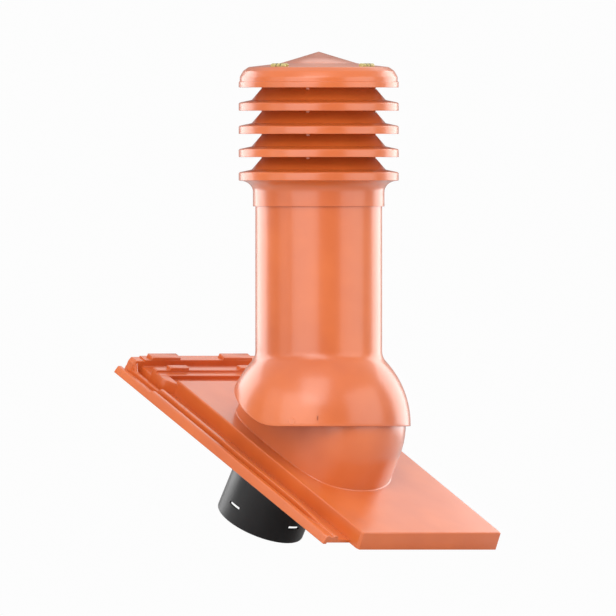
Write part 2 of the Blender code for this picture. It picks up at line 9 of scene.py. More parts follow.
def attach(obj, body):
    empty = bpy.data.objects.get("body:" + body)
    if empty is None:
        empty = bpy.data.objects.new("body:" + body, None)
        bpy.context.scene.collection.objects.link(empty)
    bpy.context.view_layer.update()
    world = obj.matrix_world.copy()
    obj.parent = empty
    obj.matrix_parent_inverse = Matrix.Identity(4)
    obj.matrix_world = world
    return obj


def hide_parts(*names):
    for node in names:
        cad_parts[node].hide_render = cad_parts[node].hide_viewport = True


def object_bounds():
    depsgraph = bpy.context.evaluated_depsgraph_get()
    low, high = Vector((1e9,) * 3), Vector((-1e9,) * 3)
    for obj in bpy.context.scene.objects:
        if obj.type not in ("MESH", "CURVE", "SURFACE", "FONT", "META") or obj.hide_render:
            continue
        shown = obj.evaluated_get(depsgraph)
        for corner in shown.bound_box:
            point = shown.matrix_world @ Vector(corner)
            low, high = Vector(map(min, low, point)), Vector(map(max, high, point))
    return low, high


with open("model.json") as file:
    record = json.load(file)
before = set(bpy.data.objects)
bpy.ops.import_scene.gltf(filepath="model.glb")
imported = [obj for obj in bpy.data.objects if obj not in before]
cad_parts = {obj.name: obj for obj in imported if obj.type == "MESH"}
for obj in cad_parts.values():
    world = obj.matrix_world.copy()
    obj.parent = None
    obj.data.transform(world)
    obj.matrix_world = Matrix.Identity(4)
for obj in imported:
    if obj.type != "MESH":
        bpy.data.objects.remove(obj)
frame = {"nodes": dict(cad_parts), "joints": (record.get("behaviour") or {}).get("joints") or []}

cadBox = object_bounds()  # the CAD model's box, before anything is added
scene = bpy.context.scene
mm = 0.001
sink = 1.5 * mm  # how deep joined solids reach into each other
skim = 0.1 * mm  # keeps a tool off the faces of the tile, where the Boolean fails on faces in one plane
sharpAngle = math.radians(34.0)  # edges that turn further than this stay sharp in the shading
roofPitch = math.radians(30.0)
roofTilt = Matrix.Rotation(roofPitch, 4, "X")
ballCentre = Vector(frame["joints"][0]["pos_m"])
print("frame loaded:", len(frame["nodes"]), "nodes")


# Shape helpers

# Closed outline with its corners rounded; radius is one size, or one for each corner
def roundedOutline(points, radius, steps=4):
    count = len(points)
    sizes = radius if isinstance(radius, (list, tuple)) else [radius] * count
    done = []
    for i in range(count):
        before, here, after = (Vector(points[k % count]) for k in (i - 1, i, i + 1))
        inward, outward = before - here, after - here
        turn = inward.angle(outward, math.pi)
        if sizes[i] <= 0 or turn > math.radians(176):
            done.append(tuple(here))
            continue
        cut = min(sizes[i] / math.tan(turn / 2), 0.46 * inward.length, 0.46 * outward.length)
        start, end = here + inward.normalized() * cut, here + outward.normalized() * cut
        for k in range(steps + 1):  # a quadratic curve stays tangent to both sides
            t = k / steps
            done.append(tuple(start * (1 - t) ** 2 + here * 2 * t * (1 - t) + end * t * t))
    return done


def lofted(sections, closeRing=False):
    bm = bmesh.new()
    rows = [[bm.verts.new(p) for p in section] for section in sections]
    count = len(rows[0])
    pairs = list(zip(rows, rows[1:] + rows[:1])) if closeRing else list(zip(rows, rows[1:]))
    for near, far in pairs:
        for i in range(count):
            j = (i + 1) % count
            bm.faces.new((near[i], near[j], far[j], far[i]))
    if not closeRing:
        bm.faces.new(rows[0])
        bm.faces.new(rows[-1])
    return bm


def turned(outline, sides=160):
    bm = bmesh.new()
    rings = []
    for radius, height in outline:
        if radius < 1e-6:
            rings.append([bm.verts.new((0, 0, height))] * sides)
        else:
            rings.append([bm.verts.new((radius * math.cos(a), radius * math.sin(a), height))
                          for a in (2 * math.pi * i / sides for i in range(sides))])
    for near, far in zip(rings, rings[1:] + rings[:1]):
        for i in range(sides):
            j = (i + 1) % sides
            corners = list(dict.fromkeys((near[i], near[j], far[j], far[i])))
            if len(corners) > 2:
                bm.faces.new(corners)
    return bm


# Box with rounded upright corners and a rounded top edge, sunk at its foot into what carries it
def roundedBox(low, high, corner=1.5 * mm, edge=1.0 * mm, steps=3):
    x0, y0, z0 = low
    x1, y1, z1 = high
    levels = [(z0, 0.0)] + [(z1 - edge + edge * math.sin(a), edge * (1 - math.cos(a)))
                            for a in (math.pi / 2 * k / steps for k in range(steps + 1))]
    sections = []
    for z, inset in levels:
        ring = [(x0 + inset, y0 + inset), (x1 - inset, y0 + inset),
                (x1 - inset, y1 - inset), (x0 + inset, y1 - inset)]
        sections.append([(x, y, z) for x, y in roundedOutline(ring, max(corner - inset, 0.2 * mm), 3)])
    return lofted(sections)


def meshObject(name, bm, matrix=None):
    bmesh.ops.recalc_face_normals(bm, faces=bm.faces)
    if matrix:
        bmesh.ops.transform(bm, matrix=matrix, verts=bm.verts)
    mesh = bpy.data.meshes.new(name)
    bm.to_mesh(mesh)
    bm.free()
    obj = bpy.data.objects.new(name, mesh)
    scene.collection.objects.link(obj)
    return obj


# Moves one solid into a mesh that collects several
def gather(parts, bm, matrix=None):
    bmesh.ops.recalc_face_normals(bm, faces=bm.faces)
    if matrix:
        bmesh.ops.transform(bm, matrix=matrix, verts=bm.verts)
    piece = bpy.data.meshes.new("piece")
    bm.to_mesh(piece)
    bm.free()
    parts.from_mesh(piece)
    bpy.data.meshes.remove(piece)


# Adds or cuts one solid for good, and removes the tool
def carve(obj, bm, operation, matrix=None):
    tool = meshObject("tool", bm, matrix)
    step = obj.modifiers.new("step", "BOOLEAN")
    step.operation, step.solver, step.object = operation, "EXACT", tool
    bpy.context.view_layer.update()
    result = bpy.data.meshes.new_from_object(obj.evaluated_get(bpy.context.evaluated_depsgraph_get()))
    old = obj.data
    obj.modifiers.clear()
    obj.data = result
    result.name = obj.name
    bpy.data.meshes.remove(old)
    toolMesh = tool.data
    bpy.data.objects.remove(tool)
    bpy.data.meshes.remove(toolMesh)


# Shading, finish, body and the CAD node it stands for
def complete(obj, material, body, replaced=()):
    obj.data.materials.clear()
    obj.data.materials.append(material)
    for face in obj.data.polygons:
        face.material_index = 0
    obj.data.shade_smooth()
    obj.data.set_sharp_from_angle(angle=sharpAngle)
    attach(obj, body)
    for node in replaced:
        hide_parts(node)
    return obj


# Finishes

def newMaterial(name):
    material = bpy.data.materials.new(name)
    material.use_nodes = True
    nodes = material.node_tree.nodes
    return material, nodes, material.node_tree.links, nodes["Principled BSDF"]


def addNode(nodes, kind, **values):
    node = nodes.new(kind)
    for key, value in values.items():
        if key in node.inputs:
            node.inputs[key].default_value = value
        else:
            setattr(node, key, value)
    return node


orangePlastic = {
    "deep": (0.59, 0.115, 0.020),
    "bright": (0.69, 0.150, 0.028),
    "cloudSize": 9.0,  # slow drift of the pigment over the moulding
    "roughLow": 0.32,
    "roughHigh": 0.40,
    "grainSize": 900.0,  # fine texture of the mould's face
    "grainDepth": 0.035,
    "waveSize": 26.0,  # faint sink and flow waves
    "waveDepth": 0.06,
    "specular": 0.6,
    "coat": 0.7,  # the smooth skin of the moulding
    "coatRough": 0.2,
}

blackPlastic = {
    "deep": (0.010, 0.010, 0.011),
    "bright": (0.020, 0.020, 0.021),
    "cloudSize": 14.0,
    "roughLow": 0.34,
    "roughHigh": 0.46,
    "grainSize": 700.0,
    "grainDepth": 0.05,
    "waveSize": 30.0,
    "waveDepth": 0.05,
    "specular": 0.5,
    "coat": 0.0,
}


def mouldedPlastic(name, look):
    material, nodes, links, shader = newMaterial(name)
    place = addNode(nodes, "ShaderNodeTexCoord")
    cloud = addNode(nodes, "ShaderNodeTexNoise", Scale=look["cloudSize"], Detail=3.0, Roughness=0.5)
    colour = addNode(nodes, "ShaderNodeValToRGB")
    colour.color_ramp.elements[0].position = 0.35
    colour.color_ramp.elements[0].color = (*look["deep"], 1)
    colour.color_ramp.elements[1].position = 0.65
    colour.color_ramp.elements[1].color = (*look["bright"], 1)
    rough = addNode(nodes, "ShaderNodeMapRange")
    rough.inputs["To Min"].default_value = look["roughLow"]
    rough.inputs["To Max"].default_value = look["roughHigh"]
    grain = addNode(nodes, "ShaderNodeTexNoise", Scale=look["grainSize"], Detail=2.0)
    wave = addNode(nodes, "ShaderNodeTexNoise", Scale=look["waveSize"], Detail=1.0)
    fine = addNode(nodes, "ShaderNodeBump", Strength=look["grainDepth"], Distance=0.0002)
    broad = addNode(nodes, "ShaderNodeBump", Strength=look["waveDepth"], Distance=0.002)
    for texture in (cloud, grain, wave):
        links.new(place.outputs["Object"], texture.inputs["Vector"])
    links.new(cloud.outputs["Fac"], colour.inputs["Fac"])
    links.new(colour.outputs["Color"], shader.inputs["Base Color"])
    links.new(wave.outputs["Fac"], rough.inputs["Value"])
    links.new(rough.outputs["Result"], shader.inputs["Roughness"])
    links.new(wave.outputs["Fac"], broad.inputs["Height"])
    links.new(broad.outputs["Normal"], fine.inputs["Normal"])
    links.new(grain.outputs["Fac"], fine.inputs["Height"])
    links.new(fine.outputs["Normal"], shader.inputs["Normal"])
    shader.inputs["Specular IOR Level"].default_value = look["specular"]
    shader.inputs["IOR"].default_value = 1.5
    if look["coat"]:
        shader.inputs["Coat Weight"].default_value = look["coat"]
        shader.inputs["Coat Roughness"].default_value = look["coatRough"]
    return material


vialLook = {
    "deep": (0.60, 0.50, 0.16),
    "bright": (0.86, 0.76, 0.34),
    "cloudSize": 260.0,
    "rough": 0.08,
    "clear": 0.35,  # the share of light that passes through
}


def vialLiquid():
    look = vialLook
    material, nodes, links, shader = newMaterial("vialLiquid")
    place = addNode(nodes, "ShaderNodeTexCoord")
    cloud = addNode(nodes, "ShaderNodeTexNoise", Scale=look["cloudSize"], Detail=1.0)
    colour = addNode(nodes, "ShaderNodeValToRGB")
    colour.color_ramp.elements[0].color = (*look["deep"], 1)
    colour.color_ramp.elements[1].color = (*look["bright"], 1)
    links.new(place.outputs["Object"], cloud.inputs["Vector"])
    links.new(cloud.outputs["Fac"], colour.inputs["Fac"])
    links.new(colour.outputs["Color"], shader.inputs["Base Color"])
    shader.inputs["Roughness"].default_value = look["rough"]
    shader.inputs["Transmission Weight"].default_value = look["clear"]
    return material


orange = mouldedPlastic("orangePlastic", orangePlastic)
black = mouldedPlastic("blackPlastic", blackPlastic)
liquid = vialLiquid()
print("finishes made")


# The tile, drawn from its front edge: x across the roof from the pipe's axis, y up the roof, z off the pan

tileShape = {
    "left": -88.6 * mm, "right": 156.7 * mm, "length": 384.6 * mm, "wall": 3.5 * mm,
    "frontDepth": 23.3 * mm, "frontDraft": 2.5 * mm, "sideDepth": 20.0 * mm, "cornerCut": 4.0 * mm,
    "edgeRound": 1.8 * mm, "headEnd": 449.0 * mm, "seatAt": 415.0 * mm, "seatDepth": 25.4 * mm,
}
tileOrigin = Vector((0, -tileShape["seatAt"], tileShape["seatDepth"]))
tileMatrix = roofTilt @ Matrix.Translation(tileOrigin)

sideLock = {
    "width": 46.0 * mm, "setback": 15.7 * mm, "headLength": 65.0 * mm, "draft": 3.0 * mm, "lip": 6.3 * mm,
    "ribWidth": 6.2 * mm, "ribFromPan": 23.1 * mm, "slant": 0.5 * mm,
    "middle": (7.0 * mm, 9.5 * mm, 0.0),  # how far lip, rib and groove stand over the channel's floor
    "head": (4.0 * mm, 5.5 * mm, 0.0),
    "front": (6.1 * mm, 6.1 * mm, 4.8 * mm),
    "frontLength": 15.0 * mm, "frontRamp": 80.0 * mm,
}

headLock = {
    "depth": 10.0 * mm, "leftReach": 11.9 * mm, "ledgeStart": 18.2 * mm, "ledgeWidth": 8.4 * mm,
    "ledgeDepth": 3.8 * mm, "ribDepth": 0.9 * mm, "ribWidth": 8.3 * mm, "railRise": 3.4 * mm,
    "rearWidth": 12.0 * mm, "rearReach": 27.4 * mm, "rearStep": 1.4 * mm, "rearSlope": 2.5 * mm,
    "ramp": 8.0 * mm, "railFoot": 4.0 * mm,
    "rails": (45.0 * mm, 79.0 * mm), "rearRails": (38.0 * mm, 88.8 * mm),
}

# Under the head, the seat on the roof's batten and the two lugs behind it
battenSeat = {
    "width": 20.0 * mm, "lugFromAxis": 55.0 * mm, "lugWidth": 30.0 * mm, "lugFront": 6.0 * mm,
    "lugBack": 0.5 * mm, "lugDrop": 11.0 * mm, "lugRound": 1.2 * mm,
}

ball = {
    "radius": 110.0 * mm, "wall": 3.0 * mm, "fromFront": 215.5 * mm, "rise": 34.0 * mm,
    "mouthRise": 85.0 * mm, "flat": 71.0 * mm, "flare": 1.5 * mm, "blend": 5.0, "sides": 144,
}


def panRing(inset, z, front):
    t = tileShape
    left, right, rear, cut = t["left"] + inset, t["right"] - inset, t["length"] - inset, t["cornerCut"]
    ring = [(left + cut * 0.6, front + inset), (right, front + inset), (right, rear), (left, rear),
            (left, front + inset + cut)]
    soft = [1.2 * mm, 2 * mm, 0.4 * mm, 0.4 * mm, 1.2 * mm]
    return [(x, y, z) for x, y in roundedOutline(ring, soft, 3)]


def panBody():
    t, edge = tileShape, tileShape["edgeRound"]
    drop = t["frontDepth"]
    sections = [panRing(0, -drop, -t["frontDraft"])]
    for k in range(6):
        a = math.pi / 2 * k / 5
        z = -edge * (1 - math.sin(a))
        sections.append(panRing(edge * (1 - math.cos(a)), z, t["frontDraft"] * z / drop))
    return lofted(sections)


def sideSection(y, rises):
    s, t = sideLock, tileShape
    outer = t["left"] - s["width"]
    lip, rib = outer + s["draft"], t["left"] - s["ribFromPan"]
    floor, under, slant = -t["sideDepth"], -t["sideDepth"] - t["wall"], s["slant"]
    lipTop, ribTop, groove = (floor + rise for rise in rises)
    ring = [
        (outer, -t["seatDepth"]), (lip, lipTop), (lip + s["lip"], lipTop), (lip + s["lip"] + slant, groove),
        (rib - s["ribWidth"] - slant, groove), (rib - s["ribWidth"], ribTop), (rib, ribTop),
        (rib + slant, floor), (t["left"] + sink, floor), (t["left"] + sink, under),
        (lip + t["wall"], under), (lip + t["wall"], -t["seatDepth"]),
    ]
    soft = [1.1, 2.6, 1.2, 1.2, 1.2, 1.5, 1.5, 2.6, 0, 0, 0, 0.6]
    return [(x, y, z) for x, z in roundedOutline(ring, [r * mm for r in soft], 5)]


def sideBody():
    s, t = sideLock, tileShape
    step = t["headEnd"] - s["headLength"]
    ramp = s["middle"][1] - s["head"][1]
    front = s["setback"] + s["frontLength"]
    sections = [sideSection(s["setback"], [r - 0.8 * mm for r in s["front"]]),
                sideSection(s["setback"] + 0.8 * mm, s["front"]), sideSection(front, s["front"])]
    for k in range(1, 9):  # lip and rib grow out of the flat front end
        t0 = k / 8
        blend = t0 * t0 * (3 - 2 * t0)
        rises = [a + (b - a) * blend for a, b in zip(s["front"], s["middle"])]
        sections.append(sideSection(front + s["frontRamp"] * t0, rises))
    sections += [sideSection(step - ramp, s["middle"]), sideSection(step, s["head"]),
                 sideSection(t["headEnd"], s["head"])]
    return lofted(sections)


# Lines that the parts of the head share
headLeft = tileShape["left"] - headLock["leftReach"]
wallLeft = headLeft - sink
turnIn = tileShape["length"] - tileShape["wall"]  # here the pan's wall turns outwards to the head
frontRib = tileShape["length"] + headLock["ledgeStart"] + headLock["ledgeWidth"]
frontRibEnd = frontRib + headLock["ribWidth"]
rearRib = tileShape["headEnd"] - headLock["rearWidth"]
rearRibEnd = tileShape["headEnd"] - skim
rearEndTop = -headLock["ribDepth"] - headLock["rearStep"]
underSide = -tileShape["sideDepth"] - sink


def headBody():
    h, t = headLock, tileShape
    start, end, ledge = t["length"] - sink, t["headEnd"], t["length"] + h["ledgeStart"]
    floor, rib, step = -h["depth"], -h["ribDepth"], -h["ledgeDepth"]
    ring = [
        (start, floor - t["wall"]), (end, floor - t["wall"]), (end, rib), (rearRib, rib),
        (rearRib, floor), (frontRibEnd, floor), (frontRibEnd, rib), (frontRib, rib),
        (frontRib, step), (ledge, step), (ledge, floor), (start, floor),
    ]
    soft = [0, 0.8, 1.1, 1.1, 1.8, 1.8, 1.1, 1.1, 0.7, 1.0, 1.2, 0]
    ring = roundedOutline(ring, [r * mm for r in soft], 4)
    return lofted([[(x, y, z) for y, z in ring] for x in (headLeft, t["right"])])


def ballRing(z, shrink, flare):
    b = ball
    above = max(0.0, z - b["rise"])
    radius = math.sqrt(max(0.0, (b["radius"] - shrink) ** 2 - above ** 2))
    ring = []
    for i in range(b["sides"]):
        a = 2 * math.pi * i / b["sides"]
        reach = radius
        if math.cos(a) < 0:
            wall = (b["flat"] - shrink) / -math.cos(a)
            reach = (radius ** -b["blend"] + wall ** -b["blend"]) ** (-1 / b["blend"])
        reach += flare
        ring.append((reach * math.cos(a), b["fromFront"] + reach * math.sin(a), z))
    return ring


def ballBody(low, shrink, flare):
    levels = [(low, flare * 0.985)]
    if flare:
        levels += [(flare * (1 - math.cos(a)), flare * (1 - math.sin(a)))
                   for a in (math.radians(10 + 80 * k / 9) for k in range(10))]
    levels.append((ball["rise"], 0.0))
    radius = ball["radius"] - shrink
    levels += [(ball["rise"] + radius * math.sin(math.radians(4.5 * k)), 0.0) for k in range(1, 18)]
    return lofted([ballRing(z, shrink, out) for z, out in levels])


def hollowPan(tile):
    t, past = tileShape, 4 * mm
    below = -t["frontDepth"] - sink
    hollow = [panRing(t["wall"], below, -t["frontDraft"]), panRing(t["wall"], -t["wall"], 0)]
    carve(tile, lofted(hollow), "DIFFERENCE")
    trim = roundedBox((t["left"] - past, sideLock["setback"], below),
                      (t["right"] + past, t["headEnd"], -t["sideDepth"] - t["wall"] / 2))
    carve(tile, trim, "DIFFERENCE")


# The head's front left corner is clipped before the union, to leave room for the rounded corner
def joinHead(tile):
    left = tileShape["left"]
    head = meshObject("head", headBody())
    outer, front = wallLeft - 3 * mm, turnIn - 1 * mm
    ring = [(left, front), (outer, front), (outer, turnIn + left - wallLeft + 4 * mm),
            (left, turnIn + 1 * mm)]
    corner = lofted([[(x, y, z) for x, y in ring] for z in (-tileShape["sideDepth"], 2 * mm)])
    carve(head, corner, "DIFFERENCE")
    shape = bmesh.new()
    shape.from_mesh(head.data)
    bpy.data.meshes.remove(head.data)
    carve(tile, shape, "UNION")


def joinRails(tile):
    h = headLock
    for side in (-1, 1):
        for (inner, outer), near, far in ((h["rails"], frontRib + skim, frontRibEnd - skim),
                                          (h["rearRails"], rearRib + skim, rearRibEnd)):
            x0, x1 = sorted((side * inner, side * outer))
            rail = roundedBox((x0, near, -h["railFoot"]), (x1, far, h["railRise"] - h["ribDepth"]))
            carve(tile, rail, "UNION")


# The rear rib reaches out to the left, a step lower, and ends in a slope
def joinRearEnd(tile):
    slope, bevel, top = headLock["rearSlope"], 1 * mm, rearEndTop
    end = tileShape["left"] - headLock["rearReach"]
    ring = [(headLeft + sink, top), (end, top), (end - slope, top - 2 * slope), (end - slope, underSide),
            (headLeft + sink, underSide)]
    ring = roundedOutline(ring, [0, 3 * mm, 2 * mm, 0, 0], 6)
    levels = ((rearRib + skim, bevel), (rearRib + 1.1 * mm, 0), (rearRibEnd - bevel, 0), (rearRibEnd, bevel))
    rearEnd = lofted([[(x + cut * (x < headLeft), y, z - cut) for x, z in ring] for y, cut in levels])
    carve(tile, rearEnd, "UNION")


# The lock's rib climbs to the rear rib
def joinRibSlope(tile):
    right = tileShape["left"] - sideLock["ribFromPan"]
    left = right - sideLock["ribWidth"]
    ribTop = -tileShape["sideDepth"] + sideLock["head"][1]
    start, end, foot = rearRib - headLock["ramp"], rearRib + 1.7 * mm, underSide - 0.6 * mm
    ring = [(start - 2 * mm, ribTop - 0.2 * mm), (start + 2 * mm, ribTop + 1.2 * mm),
            (end, rearEndTop - 1.2 * mm), (end, foot), (start - 2 * mm, foot)]
    sides = ((left + 0.35 * mm, 1 * mm), (left + 1.5 * mm, 0),
             (right - 1.5 * mm, 0), (right - 0.35 * mm, 1 * mm))
    slope = lofted([[(x, y, z - cut * (z > underSide)) for y, z in ring] for x, cut in sides])
    carve(tile, slope, "UNION")


# The ledge turns the head's left corner, the front rib ends there, and a low wall closes the channel behind it
def joinHeadCorner(tile):
    t, h, edge = tileShape, headLock, 0.9 * mm
    inner, ribRear = t["left"] + 2 * mm, frontRibEnd - 0.3 * mm
    ledge = [(inner, turnIn - 2 * mm), (wallLeft, turnIn + t["left"] - wallLeft), (wallLeft, ribRear),
             (inner, ribRear)]
    ribEnd = [(wallLeft, frontRib + 0.3 * mm), (headLeft + sink, frontRib + 0.3 * mm),
              (headLeft + sink, ribRear), (wallLeft, ribRear)]
    parts = ((ledge, [0, 12 * mm, 2.5 * mm, 0], underSide, -h["ledgeDepth"] - 0.5 * mm),
             (ribEnd, [0.5 * mm, 0, 0, 2.5 * mm], -h["ledgeDepth"] - sink, -h["ribDepth"] - 0.3 * mm))
    for outline, sizes, foot, top in parts:
        ring = roundedOutline(outline, sizes, 6)
        levels = [(foot, 0.0)] + [(top - edge * (1 - math.sin(a)), edge * (1 - math.cos(a)))
                                  for a in (math.pi / 2 * k / 3 for k in range(4))]
        sections = []
        for z, cut in levels:  # the rounding of the edge fades out towards the pan
            sections.append([(x + cut * min(1, max(0, (t["left"] - x) / (4 * mm))), y, z) for x, y in ring])
        carve(tile, lofted(sections), "UNION")
    wall = roundedBox((wallLeft, ribRear - sink, underSide),
                      (wallLeft + t["wall"], rearRib + sink, -h["depth"] - 0.3 * mm), 0.3 * mm, 0.8 * mm)
    carve(tile, wall, "UNION")


def joinSeat(tile):
    t, b = tileShape, battenSeat
    right, low, high = t["right"] - sink, t["seatAt"] - b["width"] / 2, t["seatAt"] + b["width"] / 2
    ring = [(headLeft, low), (right, low), (right, high), (headLeft, high)]
    seat = lofted([[(x, y, z) for x, y in ring] for z in (-t["seatDepth"], -headLock["depth"] - sink)])
    carve(tile, seat, "UNION")
    half = b["lugWidth"] / 2
    for middle in (-b["lugFromAxis"], b["lugFromAxis"]):
        ring = [(middle - half, high - b["lugFront"]), (middle + half, high - b["lugFront"]),
                (middle + half, high - b["lugBack"]), (middle - half, high - b["lugBack"])]
        lug = lofted([[(x, y, z) for x, y in roundedOutline(ring, b["lugRound"], 3)]
                      for z in (-t["seatDepth"] - b["lugDrop"], -t["seatDepth"] + sink)])
        carve(tile, lug, "UNION")


def joinBall(tile):
    carve(tile, ballBody(-sink, 0.0, ball["flare"]), "UNION")
    carve(tile, ballBody(-tileShape["wall"] - sink, ball["wall"], 0.0), "DIFFERENCE")


def makeTile():
    tile = meshObject("roofTile", panBody())
    hollowPan(tile)
    carve(tile, sideBody(), "UNION")
    for join in (joinHead, joinRails, joinRearEnd, joinRibSlope, joinHeadCorner, joinSeat, joinBall):
        join(tile)
    tile.data.transform(tileMatrix)
    wide = ball["radius"]
    mouth = roundedBox((-wide, -wide, 0), (wide, wide, wide))
    carve(tile, mouth, "DIFFERENCE", Matrix.Translation(ballCentre + Vector((0, 0, ball["mouthRise"]))))
    return complete(tile, orange, "roof_base", ["roof_tile"])


makeTile()
print("tile made")


# The black spigot under the tile

spigot = {
    "radius": 57.25 * mm, "wall": 3.0 * mm, "drop": 124.6 * mm, "offset": 30.0 * mm,
    "flangeReach": 125.0 * mm, "flangeWall": 3.0 * mm, "flangeFlat": 84.0 * mm, "flangeBlend": 14,
    "gap": 0.3 * mm,
    "slotLength": 18.8 * mm, "slotHeight": 4.0 * mm, "slotRise": 22.7 * mm, "footRound": 4.0 * mm,
}


def makeSpigot():
    s, t = spigot, tileShape
    top = -t["wall"] - s["gap"]
    low = top - s["flangeWall"]
    ring = []
    for i in range(ball["sides"]):
        a = 2 * math.pi * i / ball["sides"]
        reach = s["flangeReach"]
        if math.cos(a) < 0:
            wall = s["flangeFlat"] / -math.cos(a)
            reach = (reach ** -s["flangeBlend"] + wall ** -s["flangeBlend"]) ** (-1 / s["flangeBlend"])
        ring.append((reach, a))
    levels = [(low, 0.6 * mm), (low + 0.6 * mm, 0), (top - 0.6 * mm, 0), (top, 0.6 * mm)]
    sections = [[((r - cut) * math.cos(a), ball["fromFront"] + (r - cut) * math.sin(a), z) for r, a in ring]
                for z, cut in levels]
    body = meshObject("ductSpigot", lofted(sections), tileMatrix)
    axis = tileMatrix @ Matrix.Translation((0, ball["fromFront"] + s["offset"], 0))
    rim, foot, inner = -s["drop"], low + sink, s["radius"] - s["wall"]
    f = s["footRound"]
    sleeve = [(inner - 2 * mm, foot), (s["radius"] + f, foot), (s["radius"] + f, low)]
    sleeve += [(s["radius"] + f * (1 - math.sin(a)), low - f * (1 - math.cos(a)))
               for a in (math.pi / 2 * k / 6 for k in range(1, 7))]
    sleeve += [(s["radius"], rim + 1.2 * mm), (s["radius"] - 0.35 * mm, rim + 0.35 * mm),
               (s["radius"] - 1.2 * mm, rim), (inner - 2 * mm, rim)]
    carve(body, turned(sleeve, 128), "UNION", axis)
    bore = [(0, rim - 2 * mm), (inner + 2.6 * mm, rim - 2 * mm), (inner, rim + 0.8 * mm),
            (inner, top + 2 * mm), (0, top + 2 * mm)]
    carve(body, turned(bore, 128), "DIFFERENCE", axis)
    half, deep = s["slotLength"] / 2, s["radius"] + 5 * mm
    z0 = rim + s["slotRise"] - s["slotHeight"] / 2
    z1 = z0 + s["slotHeight"]
    ring = roundedOutline([(-half, z0), (half, z0), (half, z1), (-half, z1)], 0.9 * mm, 3)
    carve(body, lofted([[(x, y, z) for x, z in ring] for y in (-deep, deep)]), "DIFFERENCE", axis)
    carve(body, lofted([[(y, x, z) for x, z in ring] for y in (-deep, deep)]), "DIFFERENCE", axis)
    return complete(body, black, "roof_base", ["duct_spigot"])


makeSpigot()
print("spigot made")


# Hood and pipe in one, drawn from the ball's centre with the pipe upright

hood = {
    "outer": 116.0 * mm, "wall": 4.0 * mm, "frontDrop": 3.0 * mm, "rearRise": 5.0 * mm,
    "edgeBlend": 6.0 * mm, "edgeRound": 1.0 * mm, "neckFillet": 20.0 * mm,
    "pipe": 80.0 * mm, "pipeWall": 3.5 * mm, "pipeTop": 295.0 * mm,
    "sides": 192,
}


def softMax(a, b, width):
    gap = max(width - abs(a - b), 0.0) / width
    return max(a, b) + gap * gap * width / 4


# Where the hood's edge meets a sphere: level in front, along the roof behind
def edgeAngle(radius, azimuth):
    front = -hood["frontDrop"] / radius
    level, lean = math.cos(roofPitch), math.sin(roofPitch) * math.sin(azimuth)
    size = math.hypot(level, lean)
    rear = math.asin(hood["rearRise"] / (radius * size)) + math.atan2(lean, level)
    return softMax(front, rear, 2 * hood["edgeBlend"] / radius)


def makeHood():
    h = hood
    outer, wall, edge = h["outer"], h["wall"], h["edgeRound"]
    inner = outer - wall
    reach = outer + h["neckFillet"]
    filletHeight = math.sqrt(reach ** 2 - (h["pipe"] + h["neckFillet"]) ** 2)
    lean = math.atan2(filletHeight, h["pipe"] + h["neckFillet"])
    bore = h["pipe"] - h["pipeWall"]
    innerTop = math.acos(bore / inner)
    rounding = [(edge * (1 - math.sin(a)), edge * (1 - math.cos(a)))
                for a in (math.pi / 2 * k / 4 for k in range(5))]
    sections = []
    for i in range(h["sides"]):
        azimuth = 2 * math.pi * i / h["sides"]
        start = edgeAngle(outer, azimuth)
        points = [(inner + deep, start + up / inner) for up, deep in rounding]
        points += [(outer - deep, start + up / outer) for up, deep in reversed(rounding)]
        first = start + edge / outer
        points += [(outer, first + (lean - first) * k / 22) for k in range(1, 23)]
        profile = [(r * math.cos(e), r * math.sin(e)) for r, e in points]
        for k in range(1, 9):
            a = math.pi + lean * (1 - k / 8)
            profile.append((h["pipe"] + h["neckFillet"] * (1 + math.cos(a)),
                            filletHeight + h["neckFillet"] * math.sin(a)))
        profile += [(h["pipe"], filletHeight + (h["pipeTop"] - filletHeight) * k / 6) for k in range(1, 6)]
        profile += [(h["pipe"], h["pipeTop"] - 0.8 * mm), (h["pipe"] - 0.8 * mm, h["pipeTop"]),
                    (bore + 0.8 * mm, h["pipeTop"]), (bore, h["pipeTop"] - 0.8 * mm)]
        last = start + edge / inner
        profile += [(inner * math.cos(e), inner * math.sin(e))
                    for e in (innerTop + (last - innerTop) * k / 14 for k in range(15))][:-1]
        sections.append([(r * math.cos(azimuth), r * math.sin(azimuth), z) for r, z in profile])
    return meshObject("hoodPipe", lofted(sections, closeRing=True), Matrix.Translation(ballCentre))


# Small marks near the hood's front edge, by azimuth from +X and height over the ball's centre
hoodMarks = {
    "tickTurn": 224.7, "tickLow": 4.6 * mm, "tickHigh": 10.0 * mm, "tickWidth": 1.4 * mm,
    "tickDepth": 3.4 * mm,
    "bossTurn": 208.3, "bossRise": 3.6 * mm, "bossRadius": 4.6 * mm, "bossProud": 0.35 * mm,
}


def finishHood(obj):
    m, outer = hoodMarks, hood["outer"]
    turn = Matrix.Translation(ballCentre) @ Matrix.Rotation(math.radians(m["tickTurn"]), 4, "Z")
    half, low, high = m["tickWidth"] / 2, m["tickLow"], m["tickHigh"]
    slit = roundedOutline([(-half, low), (half, low), (half, high), (-half, high)], 0.4 * mm, 3)
    carve(obj, lofted([[(x, y, z) for y, z in slit] for x in (outer - m["tickDepth"], outer + 2 * mm)]),
          "DIFFERENCE", turn)
    turn = Matrix.Translation(ballCentre) @ Matrix.Rotation(math.radians(m["bossTurn"]), 4, "Z")
    lean = Matrix.Rotation(math.pi / 2 - math.asin(m["bossRise"] / outer), 4, "Y")
    disc = [(0, outer - 1 * mm), (m["bossRadius"], outer - 1 * mm), (m["bossRadius"], outer - 0.1 * mm),
            (m["bossRadius"] - 0.5 * mm, outer + m["bossProud"]), (0, outer + m["bossProud"])]
    carve(obj, turned(disc, 40), "UNION", turn @ lean)
    return complete(obj, orange, "stack", ["hood_pipe"])


finishHood(makeHood())
print("hood and pipe made")


# Collar, louvres and cap, each drawn from the lower edge of its own band

